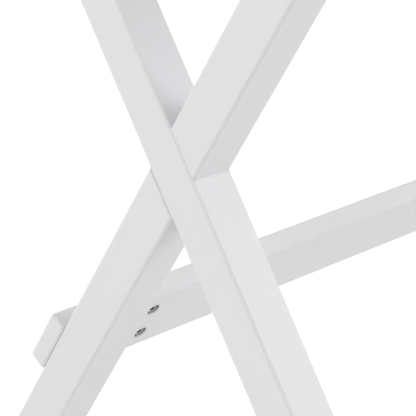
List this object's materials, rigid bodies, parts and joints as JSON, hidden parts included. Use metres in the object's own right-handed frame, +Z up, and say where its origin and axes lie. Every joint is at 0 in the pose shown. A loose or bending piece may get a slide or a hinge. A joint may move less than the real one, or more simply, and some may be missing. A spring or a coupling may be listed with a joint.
{
  "type": "writing desk",
  "caption": "White painted writing desk with crossed square legs at each end, a stretcher between the rear legs and shallow drawers.",
  "frame": {"origin": "on the floor, under the centre of the desktop", "axes": "+X to the right end along the desk, +Y to its back, +Z up"},
  "size_m": [1.2, 0.55, 0.762],
  "materials": {
    "white_paint": "satin white paint on solid wood",
    "drawer_wood": "clear-sealed pale wood",
    "zinc_fitting": "zinc-plated",
    "knob_metal": "satin nickel",
    "glide_nylon": "moulded"
  },
  "bodies": {
    "desk": {"desktop": "white_paint", "case_side_left": "white_paint", "case_side_right": "white_paint", "case_back": "white_paint", "case_divider": "white_paint", "front_rail": "white_paint", "runner_left_outer": "drawer_wood", "runner_left_inner": "drawer_wood", "runner_right_outer": "drawer_wood", "runner_right_inner": "drawer_wood", "stretcher": "white_paint", "left_leg_outer": "white_paint", "left_leg_inner": "white_paint", "left_bearer": "white_paint", "left_block": "white_paint", "left_lap_screw": "zinc_fitting", "left_head_screw_front": "zinc_fitting", "left_head_screw_rear": "zinc_fitting", "left_frame_bolt_front": "zinc_fitting", "left_frame_bolt_rear": "zinc_fitting", "left_glide_front": "glide_nylon", "left_glide_rear": "glide_nylon", "left_cam_upper": "zinc_fitting", "left_cam_lower": "zinc_fitting", "left_cam_bolt_upper": "zinc_fitting", "left_cam_bolt_lower": "zinc_fitting", "right_leg_outer": "white_paint", "right_leg_inner": "white_paint", "right_bearer": "white_paint", "right_block": "white_paint", "right_lap_screw": "zinc_fitting", "right_head_screw_front": "zinc_fitting", "right_head_screw_rear": "zinc_fitting", "right_frame_bolt_front": "zinc_fitting", "right_frame_bolt_rear": "zinc_fitting", "right_glide_front": "glide_nylon", "right_glide_rear": "glide_nylon", "right_cam_upper": "zinc_fitting", "right_cam_lower": "zinc_fitting", "right_cam_bolt_upper": "zinc_fitting", "right_cam_bolt_lower": "zinc_fitting"},
    "drawer_left": {"drawer_left_front": "white_paint", "drawer_left_side_left": "drawer_wood", "drawer_left_side_right": "drawer_wood", "drawer_left_back": "drawer_wood", "drawer_left_bottom": "drawer_wood", "drawer_left_knob": "knob_metal", "drawer_left_knob_screw": "zinc_fitting"},
    "drawer_right": {"drawer_right_front": "white_paint", "drawer_right_side_left": "drawer_wood", "drawer_right_side_right": "drawer_wood", "drawer_right_back": "drawer_wood", "drawer_right_bottom": "drawer_wood", "drawer_right_knob": "knob_metal", "drawer_right_knob_screw": "zinc_fitting"}
  },
  "joints": [
    {"name": "drawer_left_slide", "type": "slide", "parent": "desk", "child": "drawer_left", "axis": [0, -1, 0], "range_m": [0, 0.3]},
    {"name": "drawer_right_slide", "type": "slide", "parent": "desk", "child": "drawer_right", "axis": [0, -1, 0], "range_m": [0, 0.3]}
  ]
}
